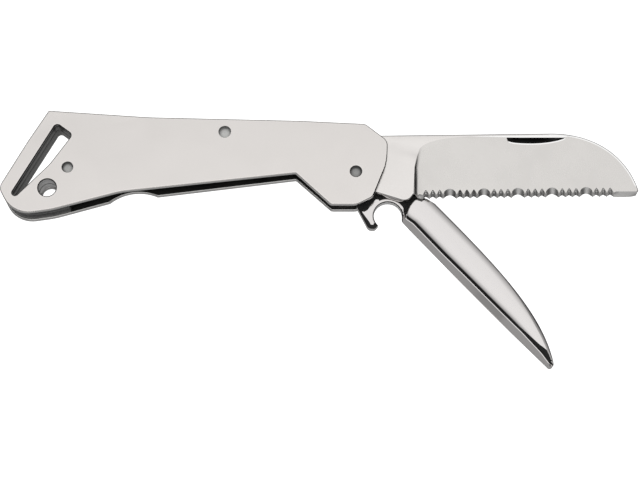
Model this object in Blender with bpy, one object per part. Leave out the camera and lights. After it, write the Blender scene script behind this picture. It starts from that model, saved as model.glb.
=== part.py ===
"""Stainless rigging knife: two flat side plates, a serrated blade and a marlin spike.

Both tools turn on one pivot rivet and lie side by side in the handle.  Every
outline is drawn in the XY plane around the pivot axis, in millimetres, and the
knife lies on its rear plate: +X runs along the open blade to its tip, +Y to the
back of the handle and +Z out of the front plate.
"""
import math

import bmesh
import bpy
from mathutils import Vector
from mathutils.geometry import delaunay_2d_cdt, interpolate_bezier

MM = 0.001

# Where the pivot axis stands, so that the knife's box is centred on the origin.
PIVOT = (10.359 * MM, 18.999 * MM)

# The stack through the handle, from the rear plate's back face upwards (mm).
PLATE_T = 1.6
GAP = 0.15
SPIKE_T = 3.15
BLADE_T = 2.7
SPIKE_Z0 = PLATE_T + GAP
SPIKE_Z1 = SPIKE_Z0 + SPIKE_T
BLADE_Z0 = SPIKE_Z1 + GAP
BLADE_Z1 = BLADE_Z0 + BLADE_T
FRONT_Z0 = BLADE_Z1 + GAP
FRONT_Z1 = FRONT_Z0 + PLATE_T

# Rest pose: the blade is fully open, the spike half open.
SPIKE_REST_DEG = -44.7

# Rivets: (x, y) of each axis, hole and shank radii, and the peened heads (mm).
SPRING_RIVET_XY = (-37.9, 12.0)
BUTT_RIVET_XY = (-83.0, 1.2)
PIVOT_SHANK_R = 1.5
SPRING_SHANK_R = 1.2
BUTT_SHANK_R = 0.8
HOLE_CLEARANCE = 0.08
HEAD_R = 1.68
HEAD_RISE = 0.35
SINK_R = 2.1
SINK_DEPTH = 0.6

# Tangs and springs (mm).
TANG_R = 9.0
SPRING_UNDERSIDE = 9.35
SPRING_END_X = 2.2
TIP_CLEARANCE_R = 81.72
PLATE_EDGE = 0.22

# Lanyard hole and bottle-opener notch (mm).
LANYARD_XY = (-88.6, -5.0)
LANYARD_R = 2.55
NOTCH_XY = (14.85, -1.9)
NOTCH_R = 4.08

# Serrations: each group is three small V cuts and one wide scallop.  They are cut
# on a slant, so each reaches higher on the front face than at the edge (mm).
SERRATION_X0 = 20.15
SERRATION_GROUPS = 6
GROUP_PITCH = 9.82
V_PITCH = 1.99
V_DEPTH = 0.65
V_FACE_RISE = 1.75
SCALLOP_W = 3.8
SCALLOP_DEPTH = 1.05
SCALLOP_FACE_RISE = 2.0
SCALLOP_STEPS = 8
TOOTH_FACE_RISE = 0.7
EDGE_Y = -7.35
EDGE_SLOPE = 0.013
FLAT_EDGE_Y = -6.75
FLAT_BEVEL_Y = -5.35

# Blade faces: both are ground from just under the spine, and the nick is front only (mm).
GRIND_TOP_Y = 11.2
GRIND_DEPTH = 0.85
EDGE_T = 0.15
NICK_LEFT = 43.8
NICK_RIGHT = 60.8
NICK_TOP_Y = 10.85
NICK_DROP = 1.6
NICK_DEPTH = 0.8

# The spike's facet: (x, y) of its lower edge and its width up to the crease, then the
# depth of the crease below the crown (mm).
SPIKE_BELLY = ((19.3, 0.06, 1.3), (21.5, -0.06, 1.75), (34.0, -0.68, 1.7), (42.0, -1.05, 1.85),
               (50.0, -1.38, 1.9), (58.0, -1.67, 1.9), (66.0, -1.92, 1.9), (74.0, -2.08, 1.4))
CROWN_DROP = 1.2

ROUND_SEGMENTS = 40


# ---------------------------------------------------------------- outlines

def fillet(corners, step_deg=12.0):
    """Closed outline from (x, y, radius) corners, each corner turned into an arc."""
    points = []
    count = len(corners)
    for index, (x, y, radius) in enumerate(corners):
        here = Vector((x, y))
        before = (Vector(corners[index - 1][:2]) - here).normalized()
        after = (Vector(corners[(index + 1) % count][:2]) - here).normalized()
        turn = math.pi - before.angle(after)
        if radius <= 0.0 or turn < 1e-4:
            points.append((x, y))
            continue
        reach = radius * math.tan(turn / 2)
        start = here + before * reach
        centre = here + (before + after).normalized() * math.hypot(radius, reach)
        first = start - centre
        side = 1.0 if before.cross(after) < 0.0 else -1.0
        steps = max(2, math.ceil(math.degrees(turn) / step_deg))
        for number in range(steps + 1):
            angle = side * turn * number / steps
            cosine = math.cos(angle)
            sine = math.sin(angle)
            points.append((centre.x + first.x * cosine - first.y * sine,
                           centre.y + first.x * sine + first.y * cosine))
    return points


def arc(centre, radius, start_deg, end_deg, steps):
    """Points on a circular arc, both ends included."""
    points = []
    for number in range(steps + 1):
        angle = math.radians(start_deg + (end_deg - start_deg) * number / steps)
        points.append((centre[0] + radius * math.cos(angle),
                       centre[1] + radius * math.sin(angle)))
    return points


def circle(centre, radius, segments=ROUND_SEGMENTS):
    """A closed circle, counter-clockwise."""
    return arc(centre, radius, 0.0, 360.0 * (segments - 1) / segments, segments - 1)


def bezier(start, handle_a, handle_b, end, count):
    """Points along a cubic curve, both ends included."""
    knots = [Vector((x, y, 0.0)) for x, y in (start, handle_a, handle_b, end)]
    return [(p.x, p.y) for p in interpolate_bezier(*knots, count)]


def inset(loop, distance):
    """The loop moved to its left by distance, with mitred corners."""
    moved = []
    count = len(loop)
    for index, (x, y) in enumerate(loop):
        here = Vector((x, y))
        into = (here - Vector(loop[index - 1])).normalized()
        out = (Vector(loop[(index + 1) % count]) - here).normalized()
        normal = Vector((-into.y - out.y, into.x + out.x)).normalized()
        stretch = max(0.5, normal.dot(Vector((-into.y, into.x))))
        moved.append((x + normal.x * distance / stretch, y + normal.y * distance / stretch))
    return moved


def inside(point, loop):
    """Even-odd test of a point against a closed loop."""
    x, y = point
    within = False
    for index, (ax, ay) in enumerate(loop):
        bx, by = loop[index - 1]
        if (ay > y) != (by > y) and x < (bx - ax) * (y - ay) / (by - ay) + ax:
            within = not within
    return within


# ------------------------------------------------------------------ solids

def line_of(points, top, bottom, closed=True):
    """A drawn line whose points all share one top and one bottom height."""
    return {"points": [(x, y, top, bottom) for x, y in points], "closed": closed}


def layered_solid(name, outer, holes, lines, material, rotation_deg=0.0):
    """A closed solid whose top and bottom heights are given along drawn lines.

    outer and holes are closed lines of (x, y, top, bottom); lines adds creases
    inside them.  All sizes are in mm and turn into metres here.
    """
    boundaries = [outer] + holes
    coords, heights, edges = [], [], []
    for line in boundaries + lines:
        first = len(coords)
        for x, y, top, bottom in line["points"]:
            coords.append(Vector((x, y)))
            heights.append((top, bottom))
        size = len(line["points"])
        edges += [(first + i, first + i + 1) for i in range(size - 1)]
        if line["closed"]:
            edges.append((first + size - 1, first))
    found, _, triangles, origins, _, _ = delaunay_2d_cdt(coords, edges, [], 0, 1e-7)
    loops = [[point[:2] for point in line["points"]] for line in boundaries]
    mesh = bmesh.new()
    tops, bottoms = {}, {}
    for index, place in enumerate(found):
        top, bottom = heights[origins[index][0]]
        tops[index] = mesh.verts.new((place.x * MM, place.y * MM, top * MM))
        bottoms[index] = mesh.verts.new((place.x * MM, place.y * MM, bottom * MM))
    rim = {}
    for triangle in triangles:
        centre = sum((found[i] for i in triangle), Vector((0.0, 0.0))) / 3
        if not inside(centre, loops[0]) or any(inside(centre, hole) for hole in loops[1:]):
            continue
        a, b, c = triangle
        mesh.faces.new((tops[a], tops[b], tops[c]))
        mesh.faces.new((bottoms[c], bottoms[b], bottoms[a]))
        for pair in ((a, b), (b, c), (c, a)):
            if pair[::-1] in rim:
                del rim[pair[::-1]]
            else:
                rim[pair] = True
    for a, b in rim:
        mesh.faces.new((bottoms[a], bottoms[b], tops[b], tops[a]))
    loose = [vertex for vertex in mesh.verts if not vertex.link_faces]
    bmesh.ops.delete(mesh, geom=loose, context="VERTS")
    return place_piece(name, mesh, material, rotation_deg)


def flat_solid(name, outline, holes, bottom, top, edge, material):
    """An extruded outline with its outer rims broken by a small chamfer."""
    outer = line_of(outline, top - edge, bottom + edge)
    crease = line_of(inset(outline, edge), top, bottom)
    hole_lines = [line_of(hole, top, bottom) for hole in holes]
    return layered_solid(name, outer, hole_lines, [crease], material)


def turned_solid(name, axis_xy, profile, material):
    """A solid of revolution about a vertical axis from (radius, z) pairs, top to bottom."""
    mesh = bmesh.new()
    rings = []
    for radius, z in profile:
        if radius == 0.0:
            rings.append([mesh.verts.new((axis_xy[0] * MM, axis_xy[1] * MM, z * MM))])
            continue
        rings.append([mesh.verts.new((x * MM, y * MM, z * MM))
                      for x, y in circle(axis_xy, radius)])
    for upper, lower in zip(rings, rings[1:]):
        for i in range(ROUND_SEGMENTS):
            j = (i + 1) % ROUND_SEGMENTS
            if len(upper) == 1:
                mesh.faces.new((upper[0], lower[i], lower[j]))
            elif len(lower) == 1:
                mesh.faces.new((upper[j], upper[i], lower[0]))
            else:
                mesh.faces.new((upper[j], upper[i], lower[i], lower[j]))
    return place_piece(name, mesh, material)


def place_piece(name, mesh, material, rotation_deg=0.0):
    """Turn a bmesh drawn around the pivot into a named object with its origin on the pivot."""
    data = bpy.data.meshes.new(name)
    mesh.to_mesh(data)
    mesh.free()
    data.materials.append(material)
    data.shade_smooth()
    data.set_sharp_from_angle(angle=math.radians(28))
    piece = bpy.data.objects.new(name, data)
    piece.location = (PIVOT[0], PIVOT[1], 0.0)
    piece.rotation_euler = (0.0, 0.0, math.radians(rotation_deg))
    bpy.context.scene.collection.objects.link(piece)
    return piece


def steel(name, colour, roughness):
    """A plain stainless-steel material."""
    material = bpy.data.materials.new(name)
    material.use_nodes = True
    shader = material.node_tree.nodes["Principled BSDF"]
    shader.inputs["Base Color"].default_value = (*colour, 1.0)
    shader.inputs["Roughness"].default_value = roughness
    shader.inputs["Metallic"].default_value = 1.0
    return material


# ------------------------------------------------------------ handle pieces

def slot_outline():
    """The tapered shackle-key slot, straight on its left and kinked on its right."""
    return fillet([(-86.8, 14.8, 1.1), (-102.0, -12.2, 0.9), (-88.2, 2.2, 16.0),
                   (-82.0, 11.2, 1.2)])


def plate_outline(scalloped):
    """A side plate; the rear one has a shallow finger scallop in its belly."""
    belly_break = [(-67.4, -6.1, 25.0)]
    if scalloped:
        right, left, sagitta = (-57.6, -5.05), (-71.4, -7.0), 2.0
        chord = math.dist(right, left)
        radius = (chord * chord / 4 + sagitta * sagitta) / (2 * sagitta)
        lean = math.atan2(right[1] - left[1], right[0] - left[0])
        drop = radius - sagitta
        centre = ((right[0] + left[0]) / 2 + drop * math.sin(lean),
                  (right[1] + left[1]) / 2 - drop * math.cos(lean))
        half = math.degrees(math.asin(chord / 2 / radius))
        upright = 90.0 + math.degrees(lean)
        belly_break = [(x, y, 0.0) for x, y in
                       arc(centre, radius, upright - half, upright + half, 10)]
    corners = [(-89.15, 18.6, 0.4), (-94.9, 9.0, 80.0), (-102.55, -4.95, 3.0),
               (-98.15, -13.05, 8.0), (-87.2, -11.5, 30.0)]
    corners += belly_break[::-1]
    if scalloped:
        corners += [(-17.3, 0.0, 0.8), (-7.1, -9.35, 1.6), (0.2, -9.35, 5.0)]
    else:
        corners += [(-17.4, -0.5, 0.8), (-7.3, -10.05, 1.6), (0.2, -10.05, 5.0)]
    corners += [(5.0, -7.6, 3.2), (9.0, 2.6, 18.0), (9.25, 9.3, 3.0), (2.8, 14.5, 2.5),
                (-16.0, 15.45, 200.0), (-60.0, 16.55, 100.0)]
    return fillet(corners)


def plate_holes(pivot_r, spring_r, butt_r):
    """The slot, the lanyard hole and three rivet holes, for either plate."""
    return [slot_outline(), circle(LANYARD_XY, LANYARD_R), circle((0.0, 0.0), pivot_r),
            circle(SPRING_RIVET_XY, spring_r), circle(BUTT_RIVET_XY, butt_r)]


def front_plate(material):
    """The stamped front plate with plain rivet holes."""
    holes = plate_holes(PIVOT_SHANK_R + HOLE_CLEARANCE, SPRING_SHANK_R + HOLE_CLEARANCE,
                        BUTT_SHANK_R + HOLE_CLEARANCE)
    return flat_solid("front_plate", plate_outline(False), holes, FRONT_Z0, FRONT_Z1,
                      PLATE_EDGE, material)


def rear_plate(material):
    """The stamped rear plate, countersunk on its back face for the flush rivet heads."""
    outline = plate_outline(True)
    outer = line_of(outline, PLATE_T - PLATE_EDGE, PLATE_EDGE)
    crease = line_of(inset(outline, PLATE_EDGE), PLATE_T, 0.0)
    holes = [line_of(slot_outline(), PLATE_T, 0.0),
             line_of(circle(LANYARD_XY, LANYARD_R), PLATE_T, 0.0)]
    rims = []
    for centre, shank in (((0.0, 0.0), PIVOT_SHANK_R), (SPRING_RIVET_XY, SPRING_SHANK_R),
                          (BUTT_RIVET_XY, BUTT_SHANK_R)):
        holes.append(line_of(circle(centre, shank + HOLE_CLEARANCE), PLATE_T, SINK_DEPTH))
        rims.append(line_of(circle(centre, SINK_R), PLATE_T, 0.0))
    return layered_solid("rear_plate", outer, holes, [crease] + rims, material)


def spring_outline():
    """A back spring stamped in one piece with its butt block."""
    end = [(SPRING_END_X, SPRING_UNDERSIDE, 0.3), (SPRING_END_X, 13.9, 0.5)]
    back = [(-16.0, 15.2, 200.0), (-60.0, 16.3, 100.0), (-88.95, 18.3, 0.5)]
    butt = [(-94.55, 8.85, 80.0), (-102.2, -4.9, 3.0), (-97.9, -12.75, 8.0), (-87.2, -11.15, 30.0),
            (-82.4, -9.85, 0.6)]
    around_tip = [(x, y, 0.0) for x, y in arc((0.0, 0.0), TIP_CLEARANCE_R, 181.5, 172.0, 8)]
    underside = [(-77.6, 11.85, 1.5), (-40.0, SPRING_UNDERSIDE, 60.0)]
    return fillet(end + back + butt + around_tip + underside)


def back_spring(name, bottom, top, material):
    """One spring lamination, as thick as the tool it presses on."""
    holes = [slot_outline(), circle(LANYARD_XY, LANYARD_R + 0.15),
             circle(SPRING_RIVET_XY, SPRING_SHANK_R + HOLE_CLEARANCE),
             circle(BUTT_RIVET_XY, BUTT_SHANK_R + HOLE_CLEARANCE)]
    return flat_solid(name, spring_outline(), holes, bottom, top, 0.15, material)


def rivet(name, axis_xy, shank_r, material):
    """A rivet with a low domed front head and a rear head flush in its countersink."""
    seat = FRONT_Z1 + 0.03
    dome = [(0.0, seat + HEAD_RISE)]
    for share, rise in ((0.35, 0.93), (0.65, 0.74), (0.88, 0.42), (1.0, 0.0)):
        dome.append((HEAD_R * share, seat + HEAD_RISE * (0.12 + 0.88 * rise)))
    dome.append((HEAD_R, seat))
    flush_r = SINK_R - HOLE_CLEARANCE
    rear = [(shank_r, seat), (shank_r, SINK_DEPTH), (flush_r, 0.0), (0.0, 0.0)]
    return turned_solid(name, axis_xy, dome + rear, material)


# ------------------------------------------------------------------- tools

def serrations():
    """(x, edge height, face height) along the cut edge, from the ricasso to the last tooth."""
    samples = []
    for group in range(SERRATION_GROUPS):
        start = SERRATION_X0 + group * GROUP_PITCH
        for cut in range(3):
            middle = start + cut * V_PITCH
            samples.append((middle - V_PITCH / 2, 0.0, 0.0))
            samples.append((middle, V_DEPTH, V_FACE_RISE))
        tooth = start + 2.5 * V_PITCH
        samples.append((tooth, 0.0, 0.0))
        if group == SERRATION_GROUPS - 1:
            break
        for step in range(1, SCALLOP_STEPS):
            share = step / SCALLOP_STEPS
            bow = math.sin(math.pi * share)
            samples.append((tooth + SCALLOP_W * share, SCALLOP_DEPTH * bow,
                            SCALLOP_FACE_RISE * math.sqrt(bow)))
    points = []
    for x, cut, rise in samples:
        edge = EDGE_Y + EDGE_SLOPE * (x - SERRATION_X0)
        points.append((x, edge + cut, edge + TOOTH_FACE_RISE + rise))
    return points


def ground_height(y):
    """How far each ground face lies below the blade's flat at height y."""
    share = (GRIND_TOP_Y - y) / (GRIND_TOP_Y - EDGE_Y)
    return GRIND_DEPTH * min(1.0, max(0.0, share))


def ground_point(x, y):
    """A point of both ground faces: (x, y, top, bottom)."""
    sink = ground_height(y)
    return (x, y, BLADE_Z1 - sink, BLADE_Z0 + sink)


def blade(material):
    """The sheepsfoot blade, ground on both faces, with a tang that turns on the pivot."""
    full = (BLADE_Z1, BLADE_Z0)
    tang = arc((0.0, 0.0), TANG_R, 73.0, 283.0, 26)
    ricasso = fillet([(4.9, -5.5, 1.0), (14.9, -8.7, 1.9), (16.5, -6.35, 0.3),
                      (20.0, -7.0, 0.0), (2.0, -8.8, 0.0)])[:-2]
    teeth = serrations()
    drop = bezier((56.0, 12.15), (66.6, 12.4), (77.6, 7.7), (81.4, -5.0), 15)
    tip = [(78.6, FLAT_EDGE_Y), (80.75, -6.3)]
    back = [(3.0, 11.45)]
    outline = [(x, y, *full) for x, y in tang + ricasso]
    outline.append((17.0, -6.45, *full))
    for x, y in [(17.75, -6.7)] + [(x, low) for x, low, _ in teeth] + tip:
        rear = ground_point(x, y)[3]
        outline.append((x, y, rear + EDGE_T, rear))
    outline += [ground_point(x, y) for x, y in drop[::-1]]
    outline += [(x, y, *full) for x, y in back]

    sweep = bezier((18.6, 7.6), (20.2, 9.4), (24.0, 10.7), (33.0, GRIND_TOP_Y), 8)
    plunge = [(16.6, -5.7), (17.0, 1.8)] + sweep + [(62.0, GRIND_TOP_Y)]
    foot = [(17.4, -5.7), (17.75, 1.6)] + [(x + 0.5, y - 0.55) for x, y in sweep[:5]]
    last_tooth = teeth[-1][0]
    bevel = [(18.3, -5.9)] + [(x, high) for x, _, high in teeth]
    bevel += [(last_tooth + 0.3, FLAT_BEVEL_Y), (80.2, FLAT_BEVEL_Y)]
    lines = [line_of(plunge, *full, closed=False)]
    lines += [{"points": [ground_point(x, y) for x, y in crease], "closed": False}
              for crease in (foot, bevel)]
    lines.append({"points": [ground_point(x, y) for x, y in nick_outline(0.0)], "closed": True})
    lines.append({"points": [(x, y, BLADE_Z1 - NICK_DEPTH, ground_point(x, y)[3])
                             for x, y in nick_outline(0.18)], "closed": True})
    hole = line_of(circle((0.0, 0.0), PIVOT_SHANK_R + HOLE_CLEARANCE), *full)
    outer = {"points": outline, "closed": True}
    return layered_solid("blade", outer, [hole], lines, material)


def nick_outline(shrink):
    """The nail nick: straight on the spine side, with a shallow bow below."""
    start = (NICK_LEFT + 3 * shrink, NICK_TOP_Y - shrink)
    end = (NICK_RIGHT - 3 * shrink, NICK_TOP_Y - shrink)
    low = NICK_TOP_Y - 4 / 3 * NICK_DROP + 1.2 * shrink
    return bezier(start, (start[0] + 5.0, low), (end[0] - 5.0, low), end, 10)


def marlin_spike(material):
    """The marlin spike; its tang carries the bottle-opener hook and notch."""
    top, bottom = SPIKE_Z1 - 0.3, SPIKE_Z0
    edge = 0.25
    crown = SPIKE_Z1
    tang = arc((0.0, 0.0), TANG_R, 73.0, 283.0, 26)
    hook = fillet([(2.2, -8.6, 0.0), (4.7, -5.7, 1.2), (13.35, -8.6, 1.1), (14.9, -7.5, 1.0),
                   (14.9, -6.0, 0.0)])[1:]
    notch = arc(NOTCH_XY, NOTCH_R, 267.0, 38.0, 22) + [(18.45, 0.26), (18.95, 0.08)]
    belly = [(x, y) for x, y, _ in SPIKE_BELLY]
    tip = fillet([(68.0, -2.0, 0.0), (78.75, -2.15, 0.8), (78.75, -0.85, 0.4),
                  (70.0, 6.0, 0.0)])[1:-1]
    spine = bezier((78.45, -0.55), (66.9, 7.65), (50.0, 9.15), (22.0, 10.2), 16)[1:]
    stop = fillet([(30.0, 10.0, 0.0), (18.6, 9.5, 1.0), (17.0, 8.8, 0.6), (9.0, 9.4, 3.0),
                   (6.6, 10.5, 1.0), (3.0, 10.5, 0.4), (3.0, 8.0, 0.0)])[1:-1]
    outline = [(x, y, top - edge, bottom + edge) for x, y in tang + hook + notch]
    outline += [(x, y, bottom + 0.4, bottom + 0.15) for x, y in belly + tip]
    outline += [(x, y, crown - 0.7, bottom + edge) for x, y in spine]
    outline += [(x, y, top - edge, bottom + edge) for x, y in stop]

    facet = [(x, y + width) for x, y, width in SPIKE_BELLY]
    ridge = [(x, y + width + 2.6) for x, y, width in SPIKE_BELLY[:-1]] + [(74.0, 0.35)]
    back = bezier((77.2, -1.0), (66.4, 6.8), (50.0, 8.2), (18.9, 9.0), 14)
    lines = [
        {"points": [(x, y, crown - CROWN_DROP, bottom) for x, y in facet], "closed": False},
        {"points": [(x, y, crown, bottom) for x, y in ridge], "closed": False},
        {"points": [(x, y, crown - 0.2, bottom) for x, y in back], "closed": False},
        line_of([facet[0], (17.95, 2.6), (17.3, 4.2), (17.0, 6.5), back[-1]], crown - 0.25,
                bottom, False),
        line_of([(17.5, 2.5), (16.8, 4.2), (16.4, 6.5), (16.6, 7.8)], top, bottom, False),
    ]
    hole = line_of(circle((0.0, 0.0), PIVOT_SHANK_R + HOLE_CLEARANCE), top, bottom)
    outer = {"points": outline, "closed": True}
    return layered_solid("marlin_spike", outer, [hole], lines, material, SPIKE_REST_DEG)


def build():
    """Clear the scene and model every piece of the knife."""
    for old in list(bpy.data.objects):
        bpy.data.objects.remove(old, do_unlink=True)
    satin = steel("satin_plate_steel", (0.68, 0.66, 0.64), 0.32)
    ground = steel("ground_blade_steel", (0.70, 0.68, 0.67), 0.25)
    polished = steel("polished_spike_steel", (0.72, 0.71, 0.70), 0.1)
    spring_steel = steel("spring_steel", (0.42, 0.41, 0.40), 0.4)
    rivet_steel = steel("rivet_steel", (0.50, 0.50, 0.49), 0.35)

    rear_plate(satin)
    front_plate(satin)
    back_spring("spike_spring", SPIKE_Z0, SPIKE_Z1, spring_steel)
    back_spring("blade_spring", BLADE_Z0, BLADE_Z1, spring_steel)
    rivet("pivot_rivet", (0.0, 0.0), PIVOT_SHANK_R, rivet_steel)
    rivet("spring_rivet", SPRING_RIVET_XY, SPRING_SHANK_R, rivet_steel)
    rivet("butt_rivet", BUTT_RIVET_XY, BUTT_SHANK_R, rivet_steel)
    blade(ground)
    marlin_spike(polished)


build()
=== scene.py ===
"""Looks of the stainless rigging knife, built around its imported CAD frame.

Outlines are drawn in millimetres around the pivot axis, as the knife lies on its rear
plate: +X along the open blade, +Y to the back of the handle, +Z out of the front plate.
"""
import math

import bmesh
import bpy
import numpy as np
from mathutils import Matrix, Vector
from mathutils.geometry import delaunay_2d_cdt, interpolate_bezier


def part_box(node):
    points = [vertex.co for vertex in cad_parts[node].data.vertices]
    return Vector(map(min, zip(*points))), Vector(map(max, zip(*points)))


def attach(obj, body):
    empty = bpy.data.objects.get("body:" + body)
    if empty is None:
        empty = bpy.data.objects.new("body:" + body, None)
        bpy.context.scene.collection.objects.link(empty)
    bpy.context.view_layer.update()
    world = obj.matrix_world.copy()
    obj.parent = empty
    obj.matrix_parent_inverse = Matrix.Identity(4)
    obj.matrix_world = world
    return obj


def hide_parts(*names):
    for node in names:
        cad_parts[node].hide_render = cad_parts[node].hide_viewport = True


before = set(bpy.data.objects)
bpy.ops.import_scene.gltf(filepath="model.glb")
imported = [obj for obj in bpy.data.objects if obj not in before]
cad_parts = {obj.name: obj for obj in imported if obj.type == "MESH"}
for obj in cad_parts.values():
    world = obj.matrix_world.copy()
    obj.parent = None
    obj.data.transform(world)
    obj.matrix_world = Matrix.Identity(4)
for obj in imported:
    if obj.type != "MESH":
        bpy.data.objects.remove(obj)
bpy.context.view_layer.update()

MM = 0.001

# Sockets of the Mix node that carry colours.
MIX_COLOUR_A, MIX_COLOUR_B, MIX_COLOUR_OUT = 6, 7, 2

# Where the mottled tone starts and ends on its ramp, and the tone of worn rims, which is
# partly wear and partly a painted highlight along the edges.
TONE_SPAN = (0.45, 1.15 / 1.2)
WEAR_AND_SHEEN_COLOUR = (0.96, 0.955, 0.95, 1.0)

# ------------------------------------------------------------------ numbers from the frame
PIVOT = [(low + high) / 2 for low, high in zip(*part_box("pivot_rivet"))][:2]


def level(node, end):
    """Lowest (0) or highest (1) z of a CAD node, in mm."""
    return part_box(node)[end].z / MM


def axis_of(node):
    """(x, y) of a round CAD node's axis around the pivot, in mm."""
    low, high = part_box(node)
    return ((low.x + high.x) / 2 - PIVOT[0]) / MM, ((low.y + high.y) / 2 - PIVOT[1]) / MM


REAR_Z = (level("rear_plate", 0), level("rear_plate", 1))
FRONT_Z = (level("front_plate", 0), level("front_plate", 1))
SPIKE_LAYER = (level("spike_spring", 0), level("spike_spring", 1))
BLADE_LAYER = (level("blade_spring", 0), level("blade_spring", 1))
HEAD_TOP = level("pivot_rivet", 1)
SPIKE_TURN = -44.7

# Meshes: the rim radius that guide lines follow where it varies, and how near a vertex
# has to be to a boundary to lie on it (mm).
TYPICAL_RIM = 0.15
ON_BOUNDARY = 2e-4

# Rivets and holes (mm).
SHANKS = {"pivot_rivet": 1.5, "spring_rivet": 1.2, "butt_rivet": 0.8}
HOLE_CLEARANCE = 0.08
HEAD_R = 1.68
WIDE_HEAD = {"spring_rivet": 1.08}
SINK_R = 2.02
SINK_DEPTH = 0.62
SINK_CLEARANCE = 0.02
DOME_EDGE = 0.06
DOME_STEPS = 14
LOBES, LOBE_SHARE = 3, 0.012
LANYARD = (-88.6, -5.0)
LANYARD_R = 2.55

# Tangs, springs and notch (mm).
TANG_R = 9.0
SPRING_UNDERSIDE = 9.35
TIP_CLEARANCE_R = 81.72
NOTCH = (14.85, -1.9)
NOTCH_R = 4.08
SHOULDER_W = 0.4
TANG_STEP = 0.3

# The spike's facet: (x, y) of its lower edge and its width up to the crease (mm).
SPIKE_BELLY = ((19.3, 0.06, 1.3), (21.5, -0.06, 1.75), (34.0, -0.68, 1.7), (42.0, -1.05, 1.85),
               (50.0, -1.38, 1.9), (58.0, -1.67, 1.9), (66.0, -1.92, 1.9), (74.0, -2.08, 1.4),
               (78.0, -2.12, 0.6))

# The spike's painted dark and grey reflections and painted shade: the line on the tang that the
# painted shade ends at, and (x, width) of the painted dark band above the crease and of the
# painted grey band under the back (mm).
SHADE_EDGE = ((8.0, -7.0), (9.3, -5.9), (9.6, -4.8), (9.15, -3.0), (9.05, -0.9), (10.1, 0.0),
              (10.4, 0.5), (10.5, 1.0))
TIP_SHADE = ((58.0, 0.3), (62.0, 0.5), (66.5, 0.75), (72.0, 1.2), (74.6, 1.7), (78.0, 2.5))
BACK_SHADE = ((45.0, 0.16), (55.0, 0.45), (61.0, 0.8), (68.0, 1.15), (74.6, 1.0), (78.0, 0.5))

# The spike's body: its length, rims and tip, how far the steel drops at a distance from the
# crease and from the back, and (y, x) of the line where the crown rises from the tang (mm).
BODY_START, BODY_END = 19.3, 76.9
FULL_WIDTH = 6.9
CREASE_LIP = 0.2
CREASE_STEP = 0.03
TIP_TOP = (78.45, -0.55)
BODY_RIM, TANG_RIM, TANG_RIM_END = 0.12, 0.35, 18.6
FACET_SLOPE = 1.12
CROWN_REACH = (0.0, 0.22, 0.45, 0.7, 0.9, 1.1, 1.3, 1.5, 1.7, 1.9, 2.3, 3.0, 3.9)
CROWN_DROP = (1.25, 1.04, 0.87, 0.73, 0.638, 0.552, 0.472, 0.398, 0.329, 0.265, 0.16, 0.04, 0.0)
BACK_REACH = (0.0, 0.3, 0.6, 0.9, 1.2, 1.6, 2.2, 3.0)
BACK_DROP = (0.31, 0.246, 0.193, 0.148, 0.108, 0.065, 0.021, 0.0)
CROWN_START = ((1.2, 18.8), (1.83, 18.38), (2.6, 17.95), (3.8, 17.42), (5.4, 17.1), (6.7, 17.0),
               (7.34, 17.2), (8.7, 18.9), (9.6, 19.2))

# Painted dark and light lines that stand for what polished edges mirror, and painted shade
# (mm): (place, width) pairs and widths.
INNER_RIM = 0.35
HOLE_LINE = 0.14
LANYARD_LINE = 0.28
NOSE_LINE = ((-4.0, 0.34), (3.0, 0.20))
NOSE_START, NOSE_LOW, NOSE_HIGH = 4.0, -7.2, 6.5
HOOK_BAND = ((8.5, 0.62), (12.0, 1.15))
NOTCH_RING = 0.36
TANG_SHADE_R = 4.95
DEEP_SHARE = 0.55

# Studio: (upward part of a direction, brightness) of the room, and soft cards as
# (direction faced, where the card starts, where it is full, brightness).
ROOM = ((0.0, 0.36), (0.16, 0.36), (0.24, 0.02), (0.75, 0.012), (0.92, 0.93), (1.0, 0.97))
CARDS = (((0.0, -0.85, 0.53), 0.86, 0.98, 0.55), ((0.0, 0.90, 0.44), 0.60, 0.95, 0.12))
FLOOR_Z, TABLE_Z = -0.0004, -0.0002
FLOOR_HALF = 3.0
CAMERA_LENS = 102.94
CAMERA_TILT = math.radians(16.9)
CAMERA_DISTANCE = 0.520
CAMERA_AIM = (PIVOT[0] - 0.010347, PIVOT[1] - 0.020732, 0.0095)

# Blade rims, and the stretches (from x, to x) of its lower walls that get other steels:
# painted shade at the heel, dull steel under the ricasso (mm).
BLADE_RIM, EDGE_RIM = 0.24, 0.01
SPINE_LINE = 0.2
LOW_WALL_TOP = -4.6
HEEL_WALL = (15.5, 17.8)
RICASSO_WALL = (4.0, 9.3)

# Blade grind, serrations and nail nick (mm).
GRIND_TOP = 11.2
GRIND_DEPTH = 0.85
PLUNGE_X = 16.55
PLUNGE_W = 2.3
DROP_START = (56.0, 12.15)
DROP_RIM = 0.62
EDGE_START = 17.7
EDGE_T = 0.15
EDGE_Y = -7.35
EDGE_SLOPE = 0.013
SERRATION_X0 = 20.15
GROUPS = 6
GROUP_PITCH = 9.82
V_CUTS = 3
V_PITCH = 1.99
V_DEPTH = 0.65
V_RISE = 1.5
V_STEPS = 5
SCALLOP_W = 3.8
SCALLOP_DEPTH = 1.05
SCALLOP_RISE = 1.75
SCALLOP_STEPS = 18
TOOTH_RISE = 0.95
SERRATION_HEEL = ((17.75, 0.4, -0.1), (18.3, 0.25, 0.35))
FLAT_START = 0.8
FLAT_END = 80.7
FLAT_EDGE = -6.75
FLAT_LIFT = 0.45
FLAT_STEPS = 6
FLAT_BEVEL = -5.35
NICK = (43.8, 60.8)
NICK_TOP = 10.85
NICK_DROP = 1.8
NICK_DEPTH = 0.8
NICK_RIM = 0.36


# ---------------------------------------------------------------------------- outlines

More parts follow.
